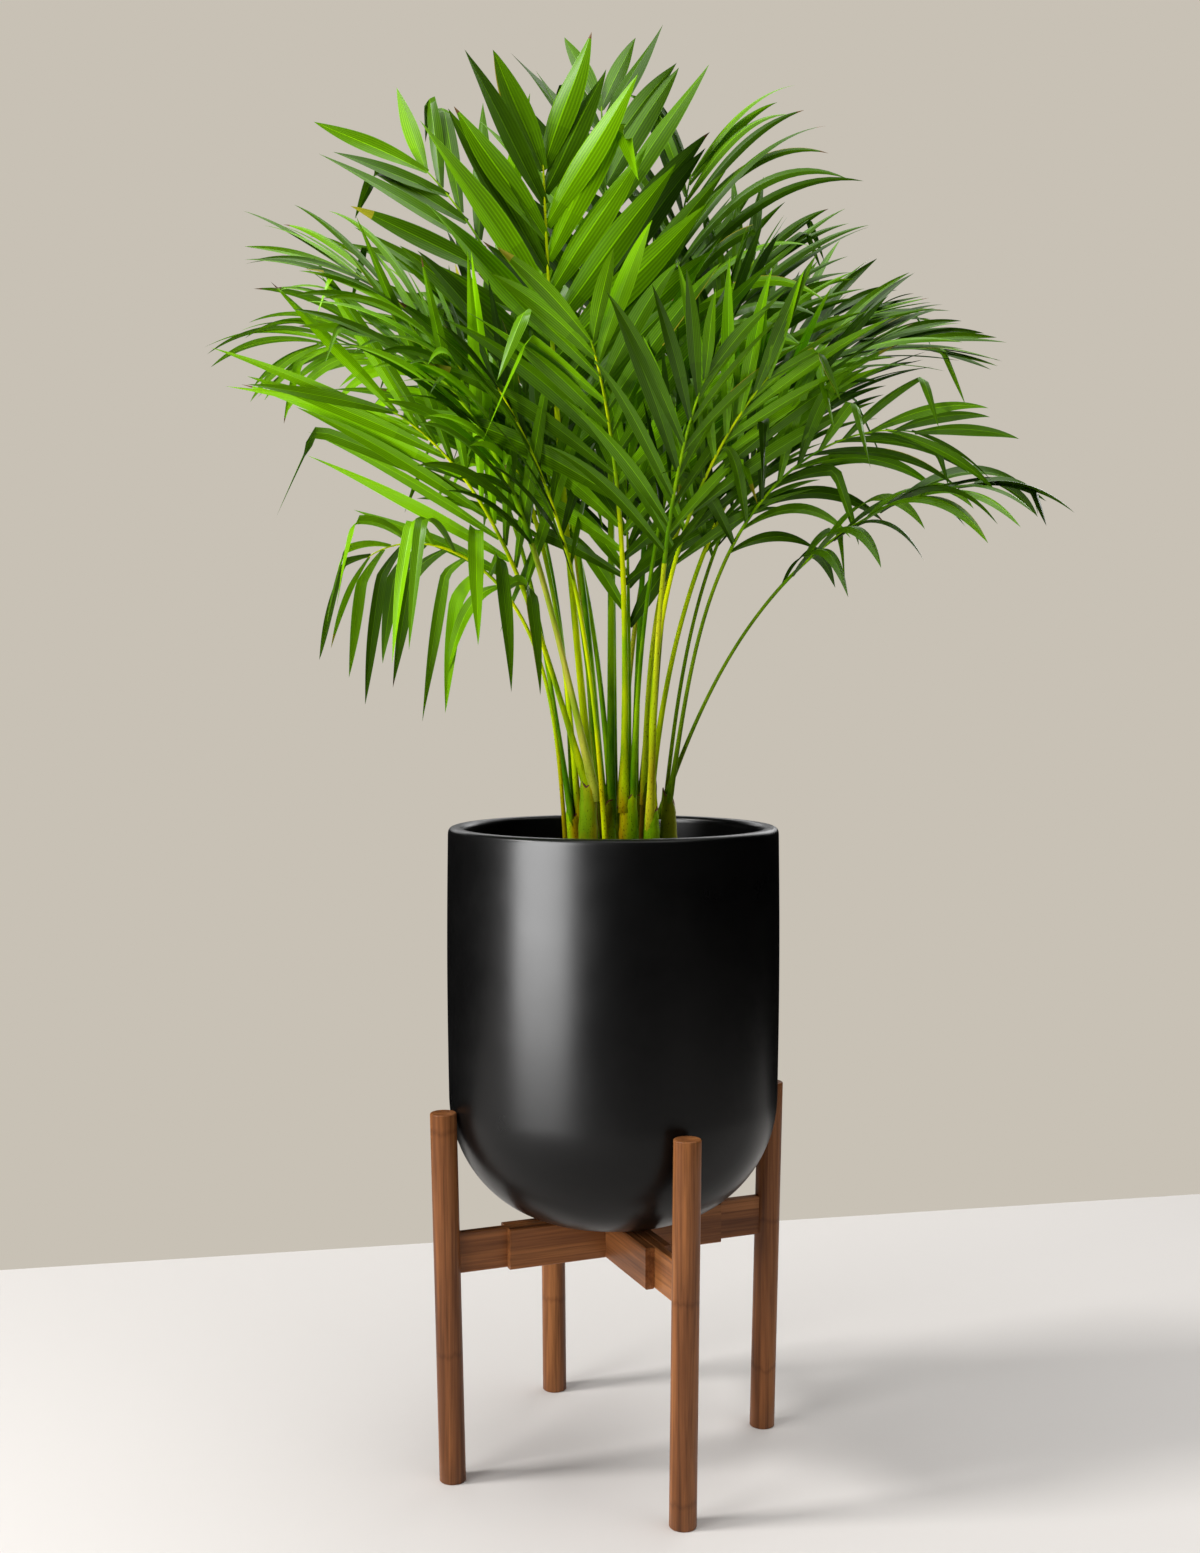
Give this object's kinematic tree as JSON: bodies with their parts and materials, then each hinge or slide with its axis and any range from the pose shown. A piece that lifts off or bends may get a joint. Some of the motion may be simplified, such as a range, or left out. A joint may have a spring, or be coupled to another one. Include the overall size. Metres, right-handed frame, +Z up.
{
  "type": "potted palm",
  "caption": "Areca palm with arching feathery fronds in a matte black round-bottomed pot, held by a low walnut-stained stand with crossed beams and round legs.",
  "frame": {"origin": "at floor level under the middle of the whole object's box", "axes": "+Z up, -Y towards the side seen in the picture, +X to that viewer's right"},
  "size_m": [0.7696, 0.6636, 1.3739],
  "materials": {
    "pot": "satin",
    "soil": "matte",
    "wood": "satin",
    "cane": "satin",
    "leaf": "satin"
  },
  "bodies": {
    "root": {"cane_1": "cane", "cane_2": "cane", "cane_3": "cane", "cane_4": "cane", "cane_5": "cane", "cane_6": "cane", "cane_7": "cane", "cane_8": "cane", "cane_9": "cane", "frond_back_arching": "leaf", "frond_back_left": "leaf", "frond_back_right": "leaf", "frond_back_upright": "leaf", "frond_crown_back": "leaf", "frond_crown_centre": "leaf", "frond_front_centre": "leaf", "frond_front_left": "leaf", "frond_front_mid": "leaf", "frond_front_right": "leaf", "frond_inner_back": "leaf", "frond_inner_front": "leaf", "frond_inner_left": "leaf", "frond_inner_right": "leaf", "frond_left_back": "leaf", "frond_left_high": "leaf", "frond_left_long": "leaf", "frond_left_low": "leaf", "frond_outer_right": "leaf", "frond_right_front": "leaf", "frond_right_high": "leaf", "frond_right_inner": "leaf", "frond_right_long": "leaf", "frond_right_low": "leaf", "frond_top_left": "leaf", "frond_top_right": "leaf", "frond_upper_left": "leaf", "frond_upper_right": "leaf", "frond_young": "leaf", "leg_back": "wood", "leg_front": "wood", "leg_left": "wood", "leg_right": "wood", "pot": "pot", "rail_cross_far": "wood", "rail_cross_near": "wood", "rail_long_far": "wood", "rail_long_near": "wood", "slider_back": "wood", "slider_front": "wood", "slider_left": "wood", "slider_right": "wood", "soil": "soil"}
  },
  "joints": []
}
